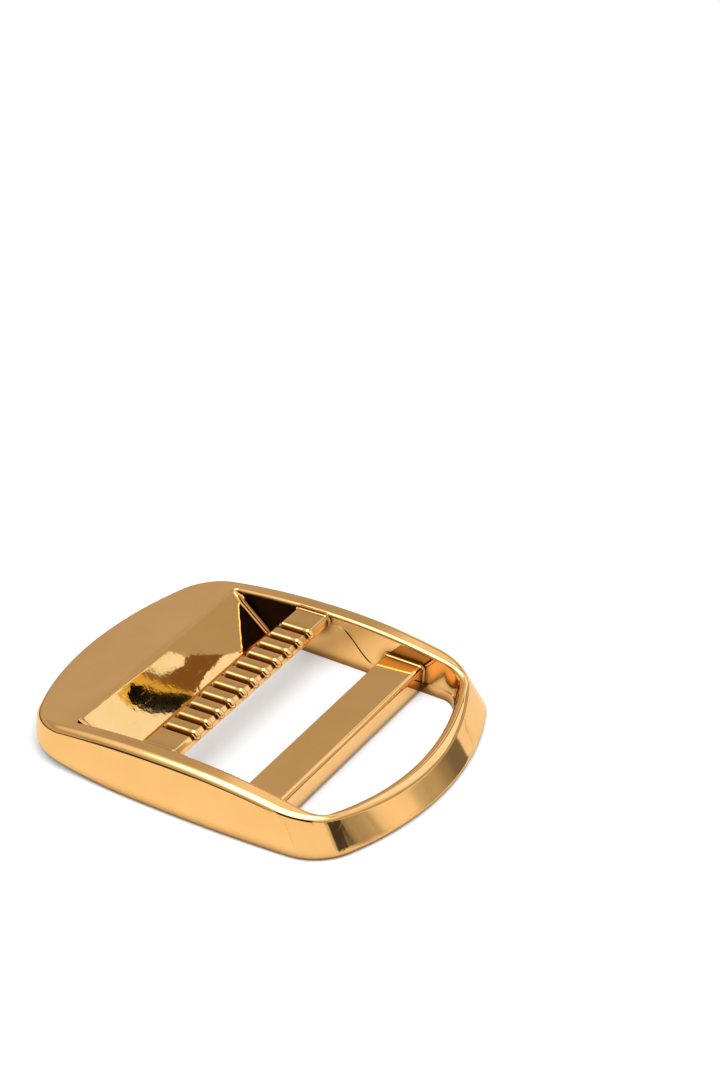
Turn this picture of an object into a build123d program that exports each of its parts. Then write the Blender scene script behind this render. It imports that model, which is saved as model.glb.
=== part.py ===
from build123d import *
import math
import os

# Strap slider (ladder-lock buckle) for 25 mm webbing, one gold-plated casting without moving parts.
# +X is across the strap, +Y runs from the lift tab to the round loop end, +Z is up from the base.
# The origin is at the middle of the footprint, on the plane that the slider lies on. Millimetres.

# Plan
half_slot = 13.2              # half the clear width between the two rails
half_width_base = 16.5        # half the outside width, at the base and at the top of the drafted wall
half_width_top = 15.5
length_base = 39.1            # from the lip of the tab to the loop end
loop_flare = 3.1              # how far the loop end leans out from the top outline to the base
loop_radius = 31.0            # the large arc of the loop end
tab_radius = 33.0             # the flatter arc of the tab's lip
side_radius = 150.0           # the slight outward bow of the rails
loop_corner_radius = 5.5
tab_corner_radius = 5.2
hole_corner_radius = 2.2
loop_rim_width = 2.28         # width of the rim at the loop end, seen from above

# Side view
crown_height = 4.85           # highest point of the top line
crown_y = 0.4
top_radius_tab_side = 86.0    # the top line is two arcs that share a level tangent at the crown
top_radius_loop_side = 64.0
underside_lift_y = -5.2       # where the flat base starts to curve up towards the tab
lip_underside = 1.8           # height of the underside at the lip
plate_thickness = 1.3

# Things between the rails, as distances along Y
crease_y = -11.85             # where the tab turns down into the ramp
ramp_foot_y = -7.05
ramp_thickness = 1.2
grip_rear_y = -4.7
grip_front_y = -1.2
grip_drop = 0.25              # how far the grip bar's top is below the top line
grip_front_face = 0.75
grip_depth = 1.45
grip_chamfer = 0.35
bar_rear_y = 5.35
bar_front_y = 9.45
bar_height = 2.75
bar_edge_radius = 0.3

# Grip ribs
rib_count = 11
rib_pitch = 2.0
rib_width = 0.5
rib_height = 0.25

loop_start_y = 10.2           # where the rails end and the loop end begins
side_cut = 60.0               # size of the blocks used for cutting, larger than the slider

tip_y = -length_base / 2
loop_y = length_base / 2


def top_height(y):
    """Height of the top line at y."""
    radius = top_radius_tab_side if y < crown_y else top_radius_loop_side
    return crown_height - radius + math.sqrt(radius ** 2 - (y - crown_y) ** 2)


def outline(half_width, y_loop, z):
    """The outside plan at one height: four large arcs with rounded corners."""
    ends = Pos(0, y_loop - loop_radius) * Circle(loop_radius)
    ends &= Pos(0, tip_y + tab_radius) * Circle(tab_radius)
    sides = Pos(side_radius - half_width, 0) * Circle(side_radius)
    sides &= Pos(half_width - side_radius, 0) * Circle(side_radius)
    plan = ends & sides
    plan = fillet(plan.vertices().filter_by(lambda v: v.Y > 0), loop_corner_radius)
    plan = fillet([v for v in plan.vertices() if is_tab_corner(v)], tab_corner_radius)
    return Pos(0, 0, z) * plan


def is_tab_corner(vertex):
    """True for the two corners between the tab's lip and the rails."""
    return vertex.Y < 0 and abs(vertex.X) > half_slot


def outer_block():
    """The drafted outside wall, cut to the curved top line and the lifted underside."""
    base = outline(half_width_base, loop_y, 0)
    top = outline(half_width_top, loop_y - loop_flare, crown_height)
    walls = loft([base, top], ruled=True)
    crown = (crown_y, crown_height)
    with BuildSketch(Plane.YZ) as side_view:
        with BuildLine():
            tab_top = (tip_y, top_height(tip_y))
            loop_top = (loop_y, top_height(loop_y))
            tab_mid_y = (tip_y + crown_y) / 2
            loop_mid_y = (loop_y + crown_y) / 2
            ThreePointArc(tab_top, (tab_mid_y, top_height(tab_mid_y)), crown)
            ThreePointArc(crown, (loop_mid_y, top_height(loop_mid_y)), loop_top)
            Line(loop_top, (loop_y, 0))
            Line((loop_y, 0), (underside_lift_y, 0))
            TangentArc((underside_lift_y, 0), (tip_y, lip_underside), tangent=(-1, 0))
            Line((tip_y, lip_underside), tab_top)
        make_face()
    return walls & extrude(side_view.sketch, amount=side_cut, both=True)


def slot_opening():
    """The clear opening between the rails, from the crease to the loop end."""
    top_y = loop_y - loop_flare * top_height(loop_y) / crown_height - loop_rim_width
    length = top_y + side_cut / 2 - crease_y
    plan = Pos(0, top_y - loop_radius) * Circle(loop_radius)
    plan &= Pos(0, crease_y + length / 2) * Rectangle(2 * half_slot, length)
    plan = fillet([v for v in plan.vertices() if v.Y > 0], hole_corner_radius)
    return extrude(plan, amount=side_cut, both=True)


def tab_pocket():
    """The hollow under the tab, which leaves a plate and a skirt of even thickness."""
    skirt = 1.5
    plan = Pos(0, tip_y + skirt + tab_radius) * Circle(tab_radius)
    plan &= Pos(0, crease_y - side_cut / 2) * Rectangle(2 * half_slot - 1, side_cut)
    floor_y = (tip_y + crease_y) / 2
    roof = top_height(floor_y) - plate_thickness
    lean = math.degrees(math.asin((crown_y - floor_y) / top_radius_tab_side))
    block = Pos(0, floor_y, roof) * Rot(X=lean) * Pos(0, 0, -side_cut / 2) * Box(side_cut, side_cut, side_cut)
    return extrude(plan, amount=side_cut, both=True) & block


def slab(y_from, y_to):
    """A block that spans everything between two distances along Y."""
    return Pos(0, (y_from + y_to) / 2, 0) * Box(side_cut, y_to - y_from, side_cut)


def side_half(side):
    """A block that spans everything on one side of the middle plane."""
    return Pos(side * side_cut / 2, 0, 0) * Box(side_cut, side_cut, side_cut)


def between_rails(points):
    """A bar that fills the slot's width, from its section in the YZ plane."""
    face = make_face(Polyline(*[(0, y, z) for y, z in points], close=True))
    return extrude(face, amount=half_slot, dir=(1, 0, 0), both=True)


def ramp():
    """The sloping plate that guides the strap down from the crease to the base."""
    crease_z = top_height(crease_y)
    slope = math.atan2(crease_z, ramp_foot_y - crease_y)
    rear_drop = ramp_thickness / math.cos(slope)
    foot_width = ramp_thickness / math.sin(slope)
    return between_rails([(crease_y, crease_z), (ramp_foot_y, 0), (ramp_foot_y - foot_width, 0),
                          (crease_y, crease_z - rear_drop)])


def grip_section(growth=0.0):
    """Section of the grip bar, a wedge with a thin front edge. growth moves its top and ends outwards."""
    rear = grip_rear_y - growth
    front = grip_front_y + growth
    rear_top = top_height(grip_rear_y) - grip_drop + growth
    front_top = top_height(grip_front_y) - grip_drop + growth
    front_foot = front_top - growth - grip_front_face
    rear_foot = rear_top - growth - grip_depth
    return [(rear, rear_top), (front - grip_chamfer, front_top), (front, front_top - grip_chamfer),
            (front, front_foot), (grip_front_y - grip_front_face, rear_foot), (rear, rear_foot)]


def grip_bar():
    return between_rails(grip_section())


def grip_ribs():
    """Raised ribs that run over the top of the grip bar and turn down at both edges."""
    cap_depth = 0.95
    cap = between_rails(grip_section(rib_height)) - between_rails(grip_section())
    roof = top_height(grip_rear_y)
    cap &= Pos(0, 0, roof - cap_depth / 2 + rib_height) * Box(side_cut, side_cut, cap_depth + rib_height)
    ribs = []
    for index in range(rib_count):
        x = (index - (rib_count - 1) / 2) * rib_pitch
        ribs.append(cap & (Pos(x, 0, 0) * Box(rib_width, side_cut, side_cut)))
    return Compound(children=[solid for rib in ribs for solid in rib.solids()])


def webbing_bar():
    """The smooth bar, set low, that the strap loops around."""
    width_y = bar_front_y - bar_rear_y
    bar = Pos(0, (bar_front_y + bar_rear_y) / 2, bar_height / 2) * Box(2 * half_slot, width_y, bar_height)
    long_edges = bar.edges().filter_by(Axis.X)
    return fillet(long_edges, bar_edge_radius)


os.makedirs("parts", exist_ok=True)
frame = outer_block() - slot_opening()
parts = {
    "tab_plate": (frame & slab(-side_cut / 2, crease_y)) - tab_pocket(),
    "left_rail": frame & slab(crease_y, loop_start_y) & side_half(-1),
    "right_rail": frame & slab(crease_y, loop_start_y) & side_half(1),
    "loop_end": frame & slab(loop_start_y, side_cut / 2),
    "ramp_plate": ramp(),
    "grip_bar": grip_bar(),
    "grip_ribs": grip_ribs(),
    "webbing_bar": webbing_bar(),
}
for name, shape in parts.items():
    export_step(shape, f"parts/{name}.step")
    print(name, round(shape.volume, 2), shape.bounding_box())
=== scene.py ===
import bpy
import bmesh
import math
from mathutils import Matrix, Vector


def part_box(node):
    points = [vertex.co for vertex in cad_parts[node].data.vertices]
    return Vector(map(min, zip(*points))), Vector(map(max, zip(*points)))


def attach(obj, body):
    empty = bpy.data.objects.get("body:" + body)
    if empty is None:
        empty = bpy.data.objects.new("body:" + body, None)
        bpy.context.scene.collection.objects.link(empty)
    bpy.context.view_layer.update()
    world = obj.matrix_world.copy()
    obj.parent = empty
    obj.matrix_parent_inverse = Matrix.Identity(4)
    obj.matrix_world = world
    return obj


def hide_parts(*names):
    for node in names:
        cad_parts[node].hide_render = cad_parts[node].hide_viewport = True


# Gold-plated strap slider. +X is across the strap, +Y runs from the lift tab to the loop end, +Z is up.

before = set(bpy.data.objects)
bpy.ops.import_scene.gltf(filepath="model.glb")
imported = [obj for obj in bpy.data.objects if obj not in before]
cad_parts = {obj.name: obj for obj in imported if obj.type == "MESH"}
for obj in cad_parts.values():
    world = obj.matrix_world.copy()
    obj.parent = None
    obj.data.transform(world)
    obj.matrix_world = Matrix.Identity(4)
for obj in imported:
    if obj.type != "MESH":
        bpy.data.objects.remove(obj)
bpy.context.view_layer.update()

MM = 0.001

# ---------------------------------------------------------------------------------------------------
# Sizes, in metres
# ---------------------------------------------------------------------------------------------------

tip_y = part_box("tab_plate")[0].y
loop_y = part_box("loop_end")[1].y
crown_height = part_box("left_rail")[1].z
half_width_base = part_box("right_rail")[1].x
half_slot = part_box("right_rail")[0].x
crease_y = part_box("ramp_plate")[0].y
ramp_foot_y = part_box("ramp_plate")[1].y
bar_rear_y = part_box("webbing_bar")[0].y
bar_front_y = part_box("webbing_bar")[1].y
bar_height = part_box("webbing_bar")[1].z
grip_rear_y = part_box("grip_bar")[0].y
grip_front_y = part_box("grip_bar")[1].y

side_lean = 1.0 * MM            # how far each side wall leans in at the crown
half_width_top = half_width_base - side_lean
loop_flare = 3.1 * MM
loop_radius = 31.0 * MM
tab_radius = 33.0 * MM
side_radius = 150.0 * MM
loop_corner_radius = 5.5 * MM
tab_corner_radius = 5.2 * MM
hole_corner_radius = 2.2 * MM
loop_rim_width = 2.28 * MM

crown_y = 0.4 * MM
top_radius_tab_side = 86.0 * MM
top_radius_loop_side = 64.0 * MM
underside_lift_y = -5.2 * MM
lip_underside = 1.8 * MM
plate_thickness = 1.3 * MM
skirt_width = 1.5 * MM
ramp_thickness = 1.2 * MM


def smooth_step(value):
    value = min(1.0, max(0.0, value))
    return value * value * (3.0 - 2.0 * value)


def top_height(y):
    """Height of the curved top line at y."""
    radius = top_radius_tab_side if y < crown_y else top_radius_loop_side
    return crown_height - radius + math.sqrt(radius ** 2 - (y - crown_y) ** 2)


def underside_height(y):
    """Height of the underside, flat but for the lift towards the tab's lip."""
    if y > underside_lift_y:
        return 0.0
    run = underside_lift_y - tip_y
    radius = (run ** 2 + lip_underside ** 2) / (2.0 * lip_underside)
    return radius - math.sqrt(radius ** 2 - (y - underside_lift_y) ** 2)


# ---------------------------------------------------------------------------------------------------
# Plan outlines. Each is a row of arcs for the right half, from the tab round to the loop end
# ---------------------------------------------------------------------------------------------------

def heading(angle):
    return Vector((math.cos(angle), math.sin(angle)))


def inner_tangent_centre(centre_a, reach_a, centre_b, reach_b, upper):
    """Centre of a corner arc, from its distances to the centres of the two arcs that it joins."""
    gap = centre_b - centre_a
    along = (reach_a ** 2 - reach_b ** 2 + gap.length_squared) / (2.0 * gap.length)
    aside = math.sqrt(max(0.0, reach_a ** 2 - along ** 2))
    direction = gap.normalized()
    normal = Vector((-direction.y, direction.x))
    choices = [centre_a + direction * along + normal * aside * side for side in (1, -1)]
    choices = [point for point in choices if point.x > 0.0]
    return max(choices, key=lambda point: point.y if upper else -point.y)


def angle_of(vector):
    return math.atan2(vector.y, vector.x)


def outer_outline(half_width, flare):
    """Arcs (centre, radius, first angle, last angle) of the outside at one height."""
    tab_centre = Vector((0.0, tip_y + tab_radius))
    loop_centre = Vector((0.0, loop_y - flare - loop_radius))
    side_centre = Vector((half_width - side_radius, 0.0))
    tab_corner = inner_tangent_centre(tab_centre, tab_radius - tab_corner_radius,
                                      side_centre, side_radius - tab_corner_radius, False)
    loop_corner = inner_tangent_centre(loop_centre, loop_radius - loop_corner_radius,
                                       side_centre, side_radius - loop_corner_radius, True)
    tab_end = angle_of(tab_corner - tab_centre)
    side_start = angle_of(tab_corner - side_centre)
    side_end = angle_of(loop_corner - side_centre)
    loop_start = angle_of(loop_corner - loop_centre)
    return [(tab_centre, tab_radius, -math.pi / 2, tab_end),
            (tab_corner, tab_corner_radius, tab_end, side_start),
            (side_centre, side_radius, side_start, side_end),
            (loop_corner, loop_corner_radius, side_end, loop_start),
            (loop_centre, loop_radius, loop_start, math.pi / 2)]


def on_arc(arc, share):
    """A point at a share of the way along an arc, and the outward direction there."""
    centre, radius, first, last = arc
    direction = heading(first + (last - first) * share)
    return centre + direction * radius, direction


slot_corner_radius = 0.3 * MM
crease_round = 0.09 * MM
hole_apex_y = loop_y - loop_flare * top_height(loop_y) / crown_height - loop_rim_width
hole_centre = Vector((0.0, hole_apex_y - loop_radius))
hole_corner_x = half_slot - hole_corner_radius
hole_corner = hole_centre + Vector((hole_corner_x, math.sqrt((loop_radius - hole_corner_radius) ** 2
                                                              - hole_corner_x ** 2)))


def inner_point(section, share):
    """A point on the edge of the slot, and the direction from it into the metal."""
    edge_y = crease_y - crease_round
    if section == 0:
        return Vector(((half_slot - slot_corner_radius) * share, edge_y)), Vector((0.0, -1.0))
    if section == 1:
        centre = Vector((half_slot - slot_corner_radius, edge_y + slot_corner_radius))
        direction = heading(-math.pi / 2 * (1.0 - share))
        return centre + direction * slot_corner_radius, direction
    if section == 2:
        start = edge_y + slot_corner_radius
        return Vector((half_slot, start + (hole_corner.y - start) * share)), Vector((1.0, 0.0))
    loop_start = angle_of(hole_corner - hole_centre)
    if section == 3:
        direction = heading(loop_start * share)
        return hole_corner + direction * hole_corner_radius, direction
    direction = heading(loop_start + (math.pi / 2 - loop_start) * share)
    return hole_centre + direction * loop_radius, direction


# ---------------------------------------------------------------------------------------------------
# Mesh making
# ---------------------------------------------------------------------------------------------------

sharp_degrees = 34.0            # edges that turn by more than this stay sharp


def fillet_points(corner, along_in, along_out, radius, steps):
    """Points of an arc that rounds a corner. along_in and along_out point away from the corner."""
    half = along_in.angle(along_out) / 2.0
    tangent = radius / math.tan(half)
    centre = corner + (along_in + along_out).normalized() * (radius / math.sin(half))
    start = corner + along_in * tangent - centre
    end = corner + along_out * tangent - centre
    turn = start.angle(end)
    points = []
    for step in range(steps + 1):
        share = step / steps
        mixed = start * math.sin((1.0 - share) * turn) + end * math.sin(share * turn)
        points.append(centre + mixed / math.sin(turn))
    return points


def spread(start, end, steps):
    """Evenly spaced points between two points, without the two."""
    return [start.lerp(end, step / (steps + 1)) for step in range(1, steps + 1)]


def sweep(bm, sections, capped):
    """Extrudes a closed loop of points through each of the sections in turn."""
    ring = [bm.verts.new(point) for point in sections[0]]
    edges = [bm.edges.new((ring[i - 1], ring[i])) for i in range(len(ring))]
    if capped:
        bm.faces.new(ring)
    for section in sections[1:]:
        made = bmesh.ops.extrude_edge_only(bm, edges=edges)["geom"]
        fresh = set(item for item in made if isinstance(item, bmesh.types.BMVert))
        following = []
        for vert, point in zip(ring, section):
            twin = next(edge.other_vert(vert) for edge in vert.link_edges
                        if edge.other_vert(vert) in fresh)
            twin.co = point
            following.append(twin)
        ring = following
        edges = [bm.edges.get((ring[i - 1], ring[i])) for i in range(len(ring))]
    if capped:
        bm.faces.new(ring)


def finish_piece(name, bm, nodes, material):
    """Turns a bmesh into a smooth-shaded piece that stands for the named CAD nodes."""
    bmesh.ops.remove_doubles(bm, verts=bm.verts, dist=1e-7)
    bmesh.ops.dissolve_degenerate(bm, edges=bm.edges, dist=1e-8)
    bmesh.ops.recalc_face_normals(bm, faces=bm.faces)
    mesh = bpy.data.meshes.new(name)
    bm.to_mesh(mesh)
    bm.free()
    mesh.shade_smooth()
    mesh.set_sharp_from_angle(angle=math.radians(sharp_degrees))
    piece = bpy.data.objects.new(name, mesh)
    bpy.context.scene.collection.objects.link(piece)
    mesh.materials.append(material)
    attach(piece, "root")
    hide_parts(*nodes)
    return piece


# ---------------------------------------------------------------------------------------------------
# Frame: rim, loop end and lift tab in one skin
# ---------------------------------------------------------------------------------------------------

inner_edge_radius = 0.38 * MM
loop_inner_radius = 0.85 * MM
outer_edge_radius = 0.84 * MM
foot_edge_radius = 0.32 * MM
foot_spread = 0.13 * MM         # brings the rounded foot out to the full width
inner_draft_top = 0.28 * MM     # the slot's walls stand back by this much at the top edge
inner_draft_foot = -0.17 * MM   # and forward by this much at the foot
seam_step = 0.045 * MM          # half the step between the two halves of the mould
crease_inner_radius = 0.02 * MM
outer_edge_share = 0.34         # where the rim is thin, its rounded edges take this share of it
foot_edge_share = 0.30
seam_high = 3.9 * MM            # height of the parting line before it falls
seam_fall = 2.9 * MM            # how far it falls, where along the slot that starts, and over what length
seam_fall_start = -0.2 * MM
seam_fall_length = 4.6 * MM
seam_below_top = 0.75 * MM      # it stays this far below the top edge
# Stations along the tab, its corner, the rail, the loop's corner and the loop
half_counts = (36, 22, 70, 30, 44)

base_outline = outer_outline(half_width_base, 0.0)
top_outline = outer_outline(half_width_top, loop_flare)


def wall_point(section, share, height):
    """A point of the drafted outside wall at a height."""
    base, outward = on_arc(base_outline[section], share)
    top = on_arc(top_outline[section], share)[0]
    return (base + outward * foot_spread).lerp(top, height / crown_height)


def seam_height(y):
    """Height of the parting line on the slot's walls, high by the grip bar and low by the loop."""
    height = seam_high - seam_fall * smooth_step((y - seam_fall_start) / seam_fall_length)
    return min(height, top_height(y) - seam_below_top)


def at(plan, height):
    return Vector((plan.x, plan.y, height))


def frame_section(section, share, hollow):
    """One closed loop of points around the rim. hollow opens the pocket under the tab."""
    inner, into_metal = inner_point(section, share)
    outward = on_arc(top_outline[section], share)[1]
    crease_share = (1.0, 1.0 - smooth_step(share), 0.0, 0.0, 0.0)[section]
    draft_share = 1.0 - crease_share
    slot_edge = inner
    inner = slot_edge + into_metal * inner_draft_top * draft_share
    inner_radius = inner_edge_radius * draft_share + crease_inner_radius * crease_share
    loop_share = (0.0, 0.0, 0.0, smooth_step(share), 1.0)[section]
    inner_radius += (loop_inner_radius - inner_edge_radius) * loop_share

    rough_corner = wall_point(section, share, crown_height)
    corner = wall_point(section, share, top_height(rough_corner.y))
    foot = wall_point(section, share, underside_height(rough_corner.y))
    thickness = top_height(corner.y) - underside_height(foot.y)
    outer_radius = min(outer_edge_radius, outer_edge_share * thickness)
    foot_radius = min(foot_edge_radius, foot_edge_share * thickness)

    top_corner = at(corner, top_height(corner.y))
    foot_corner = at(foot, underside_height(foot.y))
    down_wall = (foot_corner - top_corner).normalized()

    def inward_along(surface_height, plan):
        step = 0.5 * MM
        inside = plan - outward * step
        return Vector((inside.x - plan.x, inside.y - plan.y,
                       surface_height(inside.y) - surface_height(plan.y))).normalized()

    points = []
    arc = fillet_points(Vector((0.0, 0.0)), Vector((0.0, -1.0)), Vector((1.0, 0.0)), inner_radius, 8)
    for offset in arc:
        plan = inner + into_metal * offset.x
        points.append(at(plan, top_height(plan.y) + offset.y))

    top_edge = fillet_points(top_corner, inward_along(top_height, corner), down_wall,
                             outer_radius, 12)
    for point in spread(points[-1], top_edge[0], 12):
        point.z = top_height(point.y)
        points.append(point)
    points += top_edge

    foot_edge = fillet_points(foot_corner, -down_wall, inward_along(underside_height, foot),
                              foot_radius, 8)
    points += spread(top_edge[-1], foot_edge[0], 6)
    points += foot_edge

    skirt_inner = foot - outward * skirt_width
    hollow_roof = top_height(inner.y) - plate_thickness
    foot_plan = slot_edge + into_metal * inner_draft_foot * draft_share
    inner_foot = at(foot_plan, underside_height(inner.y) * (1.0 - hollow) + hollow_roof * hollow)
    skirt_foot = at(skirt_inner, underside_height(skirt_inner.y))
    skirt_roof_height = top_height(skirt_inner.y) - plate_thickness
    skirt_roof = at(skirt_inner, skirt_foot.z * (1.0 - hollow) + skirt_roof_height * hollow)
    points += spread(foot_edge[-1], skirt_foot, 1)
    points.append(skirt_foot)
    points.append(skirt_roof.lerp(inner_foot, 0.002))
    points += spread(skirt_roof, inner_foot, 5)
    points.append(inner_foot)
    seam_z = seam_height(slot_edge.y) if not hollow else (inner_foot.z + points[0].z) / 2.0
    rise = (seam_z - inner_foot.z) / (points[0].z - inner_foot.z)
    seam = Vector(inner_foot[:2]).lerp(Vector(points[0][:2]), rise)
    step = seam_step * smooth_step((slot_edge.y - grip_rear_y) / MM)
    below = at(seam - into_metal * step, seam_z - seam_step)
    above = at(seam + into_metal * step, seam_z + seam_step)
    points += spread(inner_foot, below, 4) + [below, above] + spread(above, points[0], 6)
    return points


def frame_stations():
    """(section, share, hollow) for every station of the right half, with a step at the pocket's end."""
    stations = []
    for section, count in enumerate(half_counts):
        for index in range(count):
            stations.append((section, index / count, 1.0 if section == 0 else 0.0))
    stations.append((4, 1.0, 0.0))
    pocket_end = stations.index((1, 0.0, 0.0))
    stations.insert(pocket_end, (0, 0.999, 1.0))
    stations.insert(pocket_end + 1, (0, 0.9995, 0.0))
    return stations


def make_frame(material):
    bm = bmesh.new()
    sections = [frame_section(*station) for station in frame_stations()]
    sweep(bm, sections, capped=False)
    bmesh.ops.mirror(bm, geom=bm.verts[:] + bm.edges[:] + bm.faces[:], merge_dist=1e-6, axis="X")
    return finish_piece("frame_casting", bm,
                        ("tab_plate", "left_rail", "right_rail", "loop_end"), material)


# ---------------------------------------------------------------------------------------------------
# Ramp
# ---------------------------------------------------------------------------------------------------

ramp_fillet = 0.40 * MM
ramp_wall_x = half_slot - 0.15 * MM
ramp_foot_radius = 0.25 * MM
ramp_back_radius = 0.05 * MM
ramp_join_radius = 0.004 * MM
ramp_fade_length = 1.2 * MM     # the fillets on the rails die out over this length below the crease
end_sink = 0.3 * MM             # how far the ramp and the bars run into the rails
bar_fillet = 0.22 * MM
crease_edge_radius = 0.012 * MM
foot_gap = 0.02 * MM            # the ramp and bars stop this far above the frame's underside


def fillet_lift(x, wall_x, radius):
    """How far a face between the rails rises where a fillet carries it up a rail."""
    reach = min(radius, radius - (wall_x - abs(x)))
    if reach <= 0.0:
        return 0.0
    return radius - math.sqrt(max(0.0, radius ** 2 - reach ** 2))


def across_stations(wall_x, radius, middle_steps):
    """Distances across the slot, close together inside the two fillets, with ends sunk in the rails."""
    fillet_steps = 10
    flat = wall_x - radius
    left = [-wall_x - end_sink]
    left += [-wall_x + radius * (1.0 - math.cos(math.pi / 2 * i / fillet_steps))
             for i in range(fillet_steps)]
    middle = [-flat + 2.0 * flat * i / middle_steps for i in range(middle_steps + 1)]
    return left + middle + [-x for x in reversed(left)]


def rounded_section(corners, steps=6):
    """Points and outward directions around a closed section with rounded corners.
    corners are (y, z, radius), in order with the inside on the left."""
    points = []
    for index, (y, z, radius) in enumerate(corners):
        corner = Vector((y, z))
        before = (Vector(corners[index - 1][:2]) - corner).normalized()
        after = (Vector(corners[(index + 1) % len(corners)][:2]) - corner).normalized()
        arc = fillet_points(corner, before, after, radius, steps)
        first = Vector((-before.y, before.x))
        last = Vector((after.y, -after.x))
        for step, point in enumerate(arc):
            direction = first.lerp(last, step / steps).normalized()
            points.append((point, direction))
    return points


def make_ramp(material):
    crease_z = top_height(crease_y)
    slope = math.atan2(crease_z, ramp_foot_y - crease_y)
    foot_width = ramp_thickness / math.sin(slope)
    rear_z = crease_z - ramp_thickness / math.cos(slope)
    start_y = crease_y - crease_round
    outline = rounded_section([
        (ramp_foot_y, 0.0, ramp_foot_radius),
        (crease_y, crease_z, crease_edge_radius),
        (start_y, top_height(start_y), ramp_join_radius),
        (start_y, rear_z, ramp_back_radius),
        (ramp_foot_y - foot_width, 0.0, ramp_foot_radius)])
    face_start = Vector((ramp_foot_y, 0.0))
    face_end = Vector((crease_y, crease_z))
    up_slope = (face_end - face_start).normalized()
    face_normal = Vector((up_slope.y, -up_slope.x))
    face_length = (face_end - face_start).length
    dense = []
    for index, (point, direction) in enumerate(outline):
        following = outline[(index + 1) % len(outline)][0]
        dense.append((point, direction))
        if (following - point).length > 1.0 * MM:
            dense += [(between, direction) for between in spread(point, following, 14)]
    sections = []
    for x in across_stations(ramp_wall_x, ramp_fillet, 60):
        lift = fillet_lift(x, ramp_wall_x, ramp_fillet)
        section = []
        for point, direction in dense:
            along = (point - face_start).dot(up_slope)
            on_face = direction.dot(face_normal) > 0.7 and along > 0.0
            fade = smooth_step((face_length - along) / ramp_fade_length) if on_face else 0.0
            moved = point + face_normal * lift * fade
            section.append(Vector((x, moved.x, max(foot_gap, moved.y))))
        sections.append(section)
    bm = bmesh.new()
    sweep(bm, sections, capped=True)
    return finish_piece("ramp", bm, ("ramp_plate",), material)


# ---------------------------------------------------------------------------------------------------
# The two bars
# ---------------------------------------------------------------------------------------------------

hold_margin = 0.06 * MM
hold_least_gap = 0.3 * MM


def held(outline):
    """Adds points close beside each rounded corner of a section, so that its flat faces shade flat."""
    points = []
    for index, (point, direction) in enumerate(outline):
        points.append((point, direction))
        following, next_direction = outline[(index + 1) % len(outline)]
        gap = following - point
        if gap.length > hold_least_gap:
            margin = gap.normalized() * hold_margin
            points += [(point + margin, direction), (following - margin, next_direction)]
    return points


def make_bar(name, corners, wall_x, node, material, steps=40, dip=None):
    """A bar between the rails, flared at both ends into the fillets on the rails. dip(x) cuts its top."""
    outline = held(rounded_section(corners))
    sections = []
    for x in across_stations(wall_x, bar_fillet, steps):
        lift = fillet_lift(x, wall_x, bar_fillet)
        section = []
        for point, direction in outline:
            moved = point + direction * lift
            if dip:
                moved.y -= dip(x) * smooth_step((direction.y - 0.2) / 0.5)
            section.append(Vector((x, moved.x, max(foot_gap, moved.y))))
        sections.append(section)
    bm = bmesh.new()
    sweep(bm, sections, capped=True)
    return finish_piece(name, bm, (node,), material)


def webbing_bar_corners():
    return [(bar_front_y, 0.0, 0.35 * MM),
            (bar_front_y, bar_height, 0.45 * MM),
            (bar_rear_y, bar_height, 0.12 * MM),
            (bar_rear_y, 0.0, 0.2 * MM)]


smooth_bar_wall_x = half_slot + 0.02 * MM       # the rails lean back, so the higher bar is longer
locking_bar_wall_x = half_slot + 0.2 * MM
grip_drop = 0.25 * MM
grip_front_face = 1.0 * MM
grip_depth = 1.45 * MM
grip_chamfer = 0.35 * MM


def grip_bar_corners():
    rear_top = top_height(grip_rear_y) - grip_drop
    front_top = top_height(grip_front_y) - grip_drop
    return [(grip_front_y, front_top - grip_front_face, 0.3 * MM),
            (grip_front_y, front_top - grip_chamfer, 0.12 * MM),
            (grip_front_y - grip_chamfer, front_top, 0.12 * MM),
            (grip_rear_y, rear_top, 0.2 * MM),
            (grip_rear_y, rear_top - grip_depth, 0.2 * MM),
            (grip_front_y - grip_front_face, rear_top - grip_depth, 0.3 * MM)]


rib_count = 11
rib_pitch = 2.0 * MM
rib_half_width = 0.35 * MM
rib_height = 0.30 * MM
rib_sink = 0.28 * MM            # how far a rib's foot reaches into the bar
rib_toe_share = 0.45            # how far down the bar's front face a rib reaches
rib_toe_taper = 0.28 * MM
rib_heel_taper = 0.16 * MM
rib_arc_steps = 14
rib_step = 0.17 * MM            # depth of the step beside a rib
rib_step_lead = 0.15 * MM       # the step starts this far before the rib's middle
rib_step_run = 0.35 * MM        # and is at its full depth after this length
rib_slope_start = 0.28 * MM     # where the slope back up starts and ends, from the rib's middle
rib_slope_end = 0.78 * MM
rib_knob = 1.3                  # how much larger a rib is at its front end


def rib_middle(index):
    return (index - (rib_count - 1) / 2) * rib_pitch


def step_down(x):
    """Depth of the bar's top beside a rib: it drops under the rib and slopes back up to the next."""
    for index in range(rib_count):
        past = x - rib_middle(index)
        if -rib_step_lead < past < rib_slope_end:
            drop = smooth_step((past + rib_step_lead) / rib_step_run)
            climb = min(1.0, (rib_slope_end - past) / (rib_slope_end - rib_slope_start))
            return rib_step * drop * climb
    return 0.0


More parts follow.
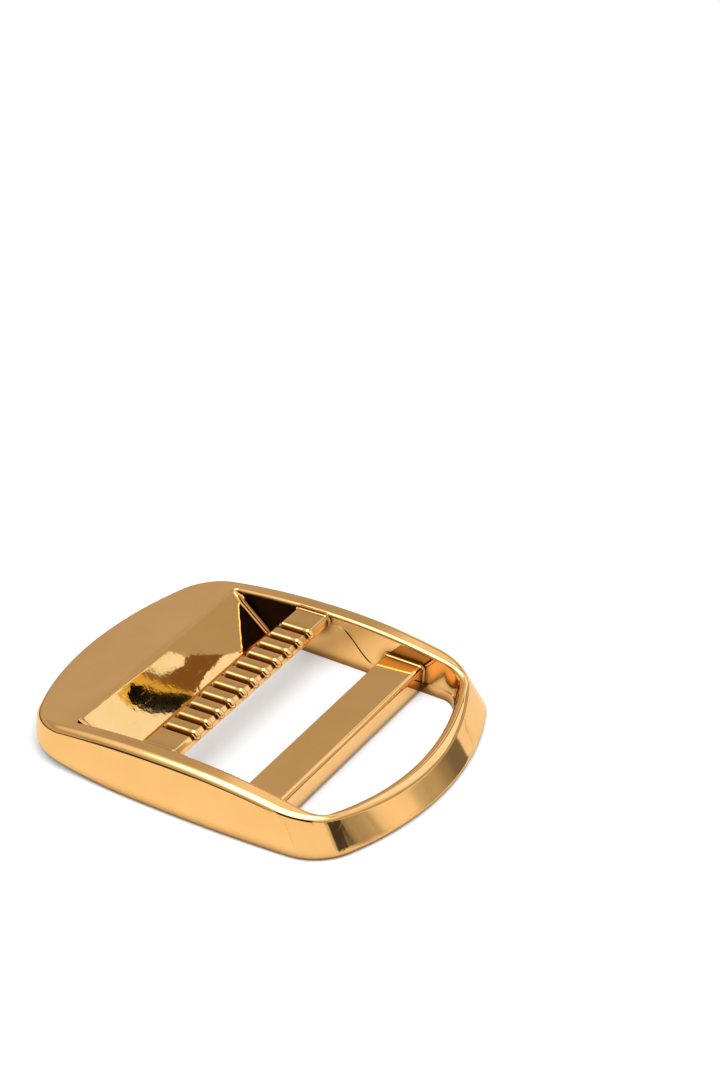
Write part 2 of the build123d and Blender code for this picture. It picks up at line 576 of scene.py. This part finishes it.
def make_ribs(material):
    """Half-round beads that run over the grip bar and fade out on its two edges."""
    corners = grip_bar_corners()
    front, edge, shoulder, rear_top = (Vector(corner[:2]) for corner in corners[:4])
    toe = edge.lerp(front, rib_toe_share)
    heel = rear_top.lerp(shoulder, 0.02)
    points = rounded_section([(toe.x, toe.y, 0.02 * MM), (edge.x, edge.y, 0.12 * MM),
                              (shoulder.x, shoulder.y, 0.12 * MM), (heel.x, heel.y, 0.02 * MM)])
    points = points[len(points) // 8:-len(points) // 8]
    dense = []
    for (point, direction), (following, next_direction) in zip(points, points[1:]):
        gap = (following - point).length
        steps = max(1, round(gap / (0.15 * MM)))
        for step in range(steps):
            share = step / steps
            turned = direction.lerp(next_direction, share).normalized()
            dense.append((point.lerp(following, share), turned))
    dense.append(points[-1])
    lengths = [0.0]
    for (point, _), (following, _) in zip(dense, dense[1:]):
        lengths.append(lengths[-1] + (following - point).length)
    sections = []
    for (point, direction), length in zip(dense, lengths):
        from_end = min(length / rib_toe_taper, (lengths[-1] - length) / rib_heel_taper, 1.0)
        size = math.sqrt(1.0 - (1.0 - from_end) ** 2)
        size = max(size, 0.02) * (1.0 + (rib_knob - 1.0) * smooth_step((1.3 * MM - length) / MM))
        section = []
        for step in range(rib_arc_steps + 1):
            angle = math.pi * step / rib_arc_steps
            rise = math.sin(angle) * rib_height * size
            section.append((math.cos(angle) * rib_half_width * size, point + direction * rise))
        section.append((-rib_half_width * size, point - direction * rib_sink))
        section.append((rib_half_width * size, point - direction * rib_sink))
        sections.append(section)
    bm = bmesh.new()
    for index in range(rib_count):
        sweep(bm, [[Vector((rib_middle(index) + across, place.x, place.y)) for across, place in section]
                   for section in sections], capped=True)
    return finish_piece("ribs", bm, ("grip_ribs",), material)


# ---------------------------------------------------------------------------------------------------
# Materials
# ---------------------------------------------------------------------------------------------------

shade_reach = 1.2 * MM        # surfaces closer than this get brown painted shade between them
# Brown painted into creases, grooves, joints and along the foot to stand for shade there
BROWN_PAINTED_SHADE = (0.28, 0.13, 0.035, 1.0)
PLAIN_METAL = (0.85, 0.85, 0.85, 1.0)
HEIGHT_UNIT = 1e-6              # heights in the gold materials are in thousandths of a millimetre


def casting_wear_and_shade_group():
    """Waviness, grain and fine scratches of a plated casting, and painted shade in its crevices, as masks
    and one height.
    """
    group = bpy.data.node_groups.new("casting_wear_and_shade", "ShaderNodeTree")
    for name in ("Waves per Metre", "Wave Height", "Grains per Metre", "Grain Height", "Scratch Height"):
        group.interface.new_socket(name, in_out="INPUT", socket_type="NodeSocketFloat")
    for name in ("Height", "Cloud", "Scratches", "Painted Shade"):
        group.interface.new_socket(name, in_out="OUTPUT", socket_type="NodeSocketFloat")
    nodes, links = group.nodes, group.links
    given = nodes.new("NodeGroupInput")
    result = nodes.new("NodeGroupOutput")
    place = nodes.new("ShaderNodeTexCoord")

    def noise(scale, detail, stretch=None):
        node = nodes.new("ShaderNodeTexNoise")
        node.inputs["Detail"].default_value = detail
        vector = place.outputs["Object"]
        if stretch:
            mapping = nodes.new("ShaderNodeMapping")
            mapping.inputs["Scale"].default_value = stretch
            mapping.inputs["Rotation"].default_value = (0.0, 0.0, 0.5)
            links.new(vector, mapping.inputs["Vector"])
            vector = mapping.outputs["Vector"]
        links.new(vector, node.inputs["Vector"])
        if isinstance(scale, float):
            node.inputs["Scale"].default_value = scale
        else:
            links.new(scale, node.inputs["Scale"])
        return node.outputs["Fac"]

    def combine(operation, first, second):
        node = nodes.new("ShaderNodeMath")
        node.operation = operation
        links.new(first, node.inputs[0])
        links.new(second, node.inputs[1])
        return node.outputs[0]

    def narrow(value, low, high):
        node = nodes.new("ShaderNodeMapRange")
        node.interpolation_type = "SMOOTHSTEP"
        links.new(value, node.inputs["Value"])
        node.inputs["From Min"].default_value = low
        node.inputs["From Max"].default_value = high
        return node.outputs["Result"]

    wave = combine("MULTIPLY", noise(given.outputs["Waves per Metre"], 1.0),
                   given.outputs["Wave Height"])
    grain = combine("MULTIPLY", noise(given.outputs["Grains per Metre"], 2.0),
                    given.outputs["Grain Height"])
    scratches = narrow(noise(420.0, 3.0, (1.0, 14.0, 1.0)), 0.62, 0.72)
    scratch_height = combine("MULTIPLY", scratches, given.outputs["Scratch Height"])
    height = combine("ADD", combine("ADD", wave, grain), scratch_height)
    links.new(height, result.inputs["Height"])
    links.new(narrow(noise(260.0, 4.0), 0.35, 0.70), result.inputs["Cloud"])
    links.new(scratches, result.inputs["Scratches"])
    # Painted shade: ambient occlusion marks where other surfaces are close, in creases, grooves, joints
    # and by the floor
    closeness = nodes.new("ShaderNodeAmbientOcclusion")
    closeness.samples = 8
    closeness.inputs["Distance"].default_value = shade_reach
    links.new(narrow(closeness.outputs["AO"], 0.985, 0.66), result.inputs["Painted Shade"])
    return group


def gold_material(name, wear_and_shade, sizes, colours, roughness):
    """Plated gold, with brown painted shade in its crevices. sizes are the wear-and-shade group's inputs
    in their order, colours are where the plating is clear and where it is clouded, and roughness is the
    same two places and what a scratch adds."""
    material = bpy.data.materials.new(name)
    material.use_nodes = True
    nodes = material.node_tree.nodes
    links = material.node_tree.links
    shader = nodes["Principled BSDF"]
    shader.inputs["Metallic"].default_value = 1.0
    surface = nodes.new("ShaderNodeGroup")
    surface.node_tree = wear_and_shade
    for socket, value in zip(surface.inputs, sizes):
        socket.default_value = value
    tint = nodes.new("ShaderNodeMix")
    tint.data_type = "RGBA"
    tint.inputs["A"].default_value = (*colours[0], 1.0)
    tint.inputs["B"].default_value = (*colours[1], 1.0)
    links.new(surface.outputs["Cloud"], tint.inputs["Factor"])
    # Painted shade: brown is mixed in where the mask finds other surfaces close by
    painted_shade = nodes.new("ShaderNodeMix")
    painted_shade.data_type = "RGBA"
    links.new(surface.outputs["Painted Shade"], painted_shade.inputs["Factor"])
    links.new(tint.outputs["Result"], painted_shade.inputs["A"])
    painted_shade.inputs["B"].default_value = BROWN_PAINTED_SHADE
    # The floor sees plain grey metal, so that no gold light spills on it
    path = nodes.new("ShaderNodeLightPath")
    neutral = nodes.new("ShaderNodeMix")
    neutral.data_type = "RGBA"
    links.new(path.outputs["Is Diffuse Ray"], neutral.inputs["Factor"])
    links.new(painted_shade.outputs["Result"], neutral.inputs["A"])
    neutral.inputs["B"].default_value = PLAIN_METAL
    links.new(neutral.outputs["Result"], shader.inputs["Base Color"])
    dull = nodes.new("ShaderNodeMapRange")
    dull.inputs["To Min"].default_value = roughness[0]
    dull.inputs["To Max"].default_value = roughness[1]
    links.new(surface.outputs["Cloud"], dull.inputs["Value"])
    scuffed = nodes.new("ShaderNodeMath")
    scuffed.operation = "MULTIPLY_ADD"
    links.new(surface.outputs["Scratches"], scuffed.inputs[0])
    scuffed.inputs[1].default_value = roughness[2]
    links.new(dull.outputs["Result"], scuffed.inputs[2])
    links.new(scuffed.outputs[0], shader.inputs["Roughness"])
    bump = nodes.new("ShaderNodeBump")
    bump.inputs["Distance"].default_value = HEIGHT_UNIT
    links.new(surface.outputs["Height"], bump.inputs["Height"])
    links.new(bump.outputs["Normal"], shader.inputs["Normal"])
    return material


wear_and_shade_group = casting_wear_and_shade_group()
polished = gold_material("polished_gold", wear_and_shade_group, (170.0, 11.0, 900.0, 1.4, 0.25),
                         ((0.956, 0.570, 0.212), (0.935, 0.545, 0.190)), (0.035, 0.075, 0.08))
cast = gold_material("cast_gold", wear_and_shade_group, (240.0, 6.0, 1150.0, 4.5, 0.25),
                     ((0.956, 0.570, 0.212), (0.930, 0.540, 0.185)), (0.025, 0.055, 0.06))

make_frame(polished)
make_ramp(cast)
make_bar("smooth_bar", webbing_bar_corners(), smooth_bar_wall_x, "webbing_bar",
         polished)
make_bar("locking_bar", grip_bar_corners(), locking_bar_wall_x, "grip_bar",
         polished, steps=240, dip=step_down)
make_ribs(polished)


# ---------------------------------------------------------------------------------------------------
# Floor, light and camera
# ---------------------------------------------------------------------------------------------------

floor_gap = 0.02 * MM           # keeps the floor clear of the slider's underside
PAPER = (0.90, 0.90, 0.90, 1.0)
PAPER_IN_REFLECTIONS = (0.76, 0.73, 0.69, 1.0)


def make_floor():
    bm = bmesh.new()
    bmesh.ops.create_grid(bm, x_segments=1, y_segments=1, size=1.5)
    mesh = bpy.data.meshes.new("floor")
    bm.to_mesh(mesh)
    bm.free()
    floor = bpy.data.objects.new("floor", mesh)
    floor.location.z = -floor_gap
    bpy.context.scene.collection.objects.link(floor)
    material = bpy.data.materials.new("pale_paper")
    material.use_nodes = True
    shader = material.node_tree.nodes["Principled BSDF"]
    # The paper is darker and a little warmer in reflections, which keeps the gold's colour deep
    tree = material.node_tree
    path = tree.nodes.new("ShaderNodeLightPath")
    paper = tree.nodes.new("ShaderNodeMix")
    paper.data_type = "RGBA"
    tree.links.new(path.outputs["Is Glossy Ray"], paper.inputs["Factor"])
    paper.inputs["A"].default_value = PAPER
    paper.inputs["B"].default_value = PAPER_IN_REFLECTIONS
    tree.links.new(paper.outputs["Result"], shader.inputs["Base Color"])
    shader.inputs["Roughness"].default_value = 0.9
    shader.inputs["Specular IOR Level"].default_value = 0.2
    mesh.materials.append(material)


def make_camera():
    camera = bpy.data.cameras.new("camera")
    camera.sensor_fit = "VERTICAL"
    camera.sensor_height = 36.0
    camera.lens = 100.3
    camera.clip_start = 0.01
    camera.clip_end = 10.0
    holder = bpy.data.objects.new("camera", camera)
    holder.location = (0.19875, 0.11928, 0.16202)
    holder.rotation_euler = (math.radians(58.628), math.radians(-1.986), math.radians(120.169))
    bpy.context.scene.collection.objects.link(holder)
    bpy.context.scene.camera = holder


def sky_direction(azimuth, elevation):
    azimuth, elevation = math.radians(azimuth), math.radians(elevation)
    level = math.cos(elevation)
    return Vector((level * math.cos(azimuth), level * math.sin(azimuth), math.sin(elevation)))


def add_panel(tree, view, below, azimuth, elevation, half_width, half_height, soft, level):
    """Lays a soft-edged panel of one brightness over the studio's walls. Sizes are tangents of angles."""
    nodes, links = tree.nodes, tree.links
    ahead = sky_direction(azimuth, elevation)
    aside = sky_direction(azimuth + 90.0, 0.0)
    upward = ahead.cross(aside)

    def dot(axis):
        node = nodes.new("ShaderNodeVectorMath")
        node.operation = "DOT_PRODUCT"
        links.new(view, node.inputs[0])
        node.inputs[1].default_value = axis
        return node.outputs["Value"]

    def combine(operation, first, second=None):
        node = nodes.new("ShaderNodeMath")
        node.operation = operation
        links.new(first, node.inputs[0])
        if isinstance(second, float):
            node.inputs[1].default_value = second
        elif second is not None:
            links.new(second, node.inputs[1])
        return node.outputs[0]

    depth = dot(ahead)
    mask = combine("GREATER_THAN", depth, 0.05)
    for axis, half_size in ((aside, half_width), (upward, half_height)):
        offset = combine("ABSOLUTE", combine("DIVIDE", dot(axis), depth))
        edge = nodes.new("ShaderNodeMapRange")
        edge.interpolation_type = "SMOOTHSTEP"
        links.new(offset, edge.inputs["Value"])
        edge.inputs["From Min"].default_value = half_size + soft
        edge.inputs["From Max"].default_value = half_size - soft
        mask = combine("MULTIPLY", mask, edge.outputs["Result"])
    mix = nodes.new("ShaderNodeMix")
    mix.data_type = "RGBA"
    links.new(mask, mix.inputs["Factor"])
    links.new(below, mix.inputs["A"])
    mix.inputs["B"].default_value = (level, level * 0.96, level * 0.92, 1.0)
    return mix.outputs["Result"]


EVEN_LIGHT = 0.37
CEILING_LEVEL = 5.0
RIPPLE = 0.13                   # how far the panels' edges waver
# The studio by the sine of the elevation: a dark gap over the floor, grey walls and a bright ceiling
STUDIO_LEVELS = ((0.00, 0.07), (0.12, 0.08), (0.18, 0.50), (0.38, 0.56), (0.50, 0.46), (0.60, 0.52),
                 (0.72, 0.85), (0.84, 1.15), (0.895, CEILING_LEVEL))
STUDIO_PANELS = (
    # azimuth, elevation, half width, half height, softness, level
    (112.0, 12.0, 0.53, 0.26, 0.06, 1.05),
    (30.0, 10.0, 1.38, 0.36, 0.05, 1.00),
    (137.0, 9.0, 0.20, 0.17, 0.10, 0.52),
    (147.0, 7.0, 0.12, 0.15, 0.08, 0.20),
    (175.0, 4.0, 0.455, 0.16, 0.02, 1.00),
    (178.0, 45.0, 0.38, 0.10, 0.05, 1.00),
    (24.0, 38.0, 0.50, 0.24, 0.06, 0.01),
    (104.0, 19.5, 0.12, 0.08, 0.08, 0.42),
    (88.0, 21.5, 0.21, 0.06, 0.03, 0.06),
    (-27.0, 13.0, 0.22, 0.14, 0.05, 0.04))


def make_world():
    """Even light for the floor, and a studio with walls and a ceiling for the reflections."""
    world = bpy.data.worlds.new("studio")
    world.use_nodes = True
    bpy.context.scene.world = world
    tree = world.node_tree
    nodes, links = tree.nodes, tree.links
    even = nodes["Background"]
    even.inputs["Color"].default_value = (1.0, 1.0, 1.0, 1.0)
    even.inputs["Strength"].default_value = EVEN_LIGHT
    place = nodes.new("ShaderNodeTexCoord")
    split = nodes.new("ShaderNodeSeparateXYZ")
    links.new(place.outputs["Generated"], split.inputs["Vector"])
    ramp = nodes.new("ShaderNodeValToRGB")
    links.new(split.outputs["Z"], ramp.inputs["Fac"])
    stops = ramp.color_ramp.elements
    while len(stops) < len(STUDIO_LEVELS):
        stops.new(0.5)
    for stop, (position, level) in zip(stops, STUDIO_LEVELS):
        stop.position = position
        share = level / CEILING_LEVEL
        warmth = 1.0 - smooth_step(level / 1.2)
        stop.color = (share, share * (0.96 - 0.06 * warmth), share * (0.93 - 0.13 * warmth), 1.0)
    scale = nodes.new("ShaderNodeVectorMath")
    scale.operation = "SCALE"
    scale.inputs["Scale"].default_value = CEILING_LEVEL
    links.new(ramp.outputs["Color"], scale.inputs[0])
    colour = scale.outputs["Vector"]
    ripple = nodes.new("ShaderNodeTexNoise")
    ripple.inputs["Scale"].default_value = 15.0
    ripple.inputs["Detail"].default_value = 3.0
    links.new(place.outputs["Generated"], ripple.inputs["Vector"])
    centred = nodes.new("ShaderNodeVectorMath")
    centred.operation = "SUBTRACT"
    links.new(ripple.outputs["Color"], centred.inputs[0])
    centred.inputs[1].default_value = (0.5, 0.5, 0.5)
    view = nodes.new("ShaderNodeVectorMath")
    view.operation = "MULTIPLY_ADD"
    links.new(centred.outputs["Vector"], view.inputs[0])
    view.inputs[1].default_value = (RIPPLE, RIPPLE, RIPPLE)
    links.new(place.outputs["Generated"], view.inputs[2])
    for panel in STUDIO_PANELS:
        colour = add_panel(tree, view.outputs["Vector"], colour, *panel)
    studio = nodes.new("ShaderNodeBackground")
    links.new(colour, studio.inputs["Color"])
    path = nodes.new("ShaderNodeLightPath")
    mix = nodes.new("ShaderNodeMixShader")
    links.new(path.outputs["Is Glossy Ray"], mix.inputs["Fac"])
    links.new(even.outputs["Background"], mix.inputs[1])
    links.new(studio.outputs["Background"], mix.inputs[2])
    links.new(mix.outputs["Shader"], nodes["World Output"].inputs["Surface"])


def make_softbox():
    """A large lamp over the slider that only lights the floor; the studio's ceiling is its reflection."""
    lamp = bpy.data.lights.new("softbox", "AREA")
    lamp.shape = "SQUARE"
    lamp.size = 0.80
    lamp.energy = 3.5
    holder = bpy.data.objects.new("softbox", lamp)
    holder.location = (0.05, 0.02, 0.40)
    holder.rotation_euler = Vector((0.0, 0.0, 1.0)).rotation_difference(holder.location).to_euler()
    holder.visible_glossy = False
    bpy.context.scene.collection.objects.link(holder)


board_centre = Vector((-28.0, 11.0, 24.0)) * MM
board_facing = (Vector((0.0, -9.5, 2.0)) * MM - board_centre).normalized()
board_aside = Vector((0.0, 0.0, 1.0)).cross(board_facing).normalized()
board_upward = board_facing.cross(board_aside)
board_layer_gap = 0.1 * MM


def make_board(name, corners, layer, colour):
    """A glowing card that only shows in reflections. Corners are (aside, upward) in millimetres."""
    bm = bmesh.new()
    lift = board_facing * layer * board_layer_gap
    bm.faces.new([bm.verts.new(board_centre + lift + (board_aside * u + board_upward * v) * MM)
                  for u, v in corners])
    mesh = bpy.data.meshes.new(name)
    bm.to_mesh(mesh)
    bm.free()
    board = bpy.data.objects.new(name, mesh)
    bpy.context.scene.collection.objects.link(board)
    material = bpy.data.materials.new(name)
    material.use_nodes = True
    nodes = material.node_tree.nodes
    nodes.remove(nodes["Principled BSDF"])
    glow = nodes.new("ShaderNodeEmission")
    glow.inputs["Color"].default_value = (*colour, 1.0)
    material.node_tree.links.new(glow.outputs["Emission"], nodes["Material Output"].inputs["Surface"])
    mesh.materials.append(material)
    board.visible_camera = False
    board.visible_diffuse = False
    board.visible_shadow = False


def make_boards():
    make_board("cream_board", [(-6.0, -6.5), (-4.8, -3.6), (-3.9, -0.8), (-3.9, 2.4), (-2.0, 4.8),
                               (0.0, 7.5), (3.5, 11.5), (8.0, 16.0), (16.0, 16.0), (16.0, -9.0)],
               0, (1.04, 1.16, 1.40))
    make_board("amber_board", [(-1.2, 5.2), (0.2, 6.9), (1.4, 6.9), (2.6, 5.9), (2.9, 4.0), (2.2, 0.0),
                               (0.6, -1.6), (-0.4, -1.0), (-0.6, 2.0)],
               2, (0.80, 0.62, 0.16))
    make_board("brown_board", [(-4.2, -0.5), (-4.9, -3.6), (-3.3, -2.7), (-1.9, -1.8), (-0.2, -1.5),
                               (-0.1, 0.4), (-0.5, 3.4), (-0.9, 5.1), (-1.7, 4.3), (-1.2, 2.7),
                               (-2.8, 0.6), (-3.9, 0.3)],
               3, (0.22, 0.12, 0.05))
    make_board("black_board", [(0.3, 5.8), (1.3, 6.0), (2.4, 5.3), (2.9, 3.6), (2.8, 1.9), (2.3, 0.4),
                               (1.0, -1.0), (0.1, -1.2), (0.3, 0.8), (0.5, 2.9), (0.2, 4.6)],
               4, (0.004, 0.004, 0.003))


make_floor()
make_camera()
make_world()
make_softbox()
make_boards()
bpy.context.scene.view_settings.view_transform = "Standard"
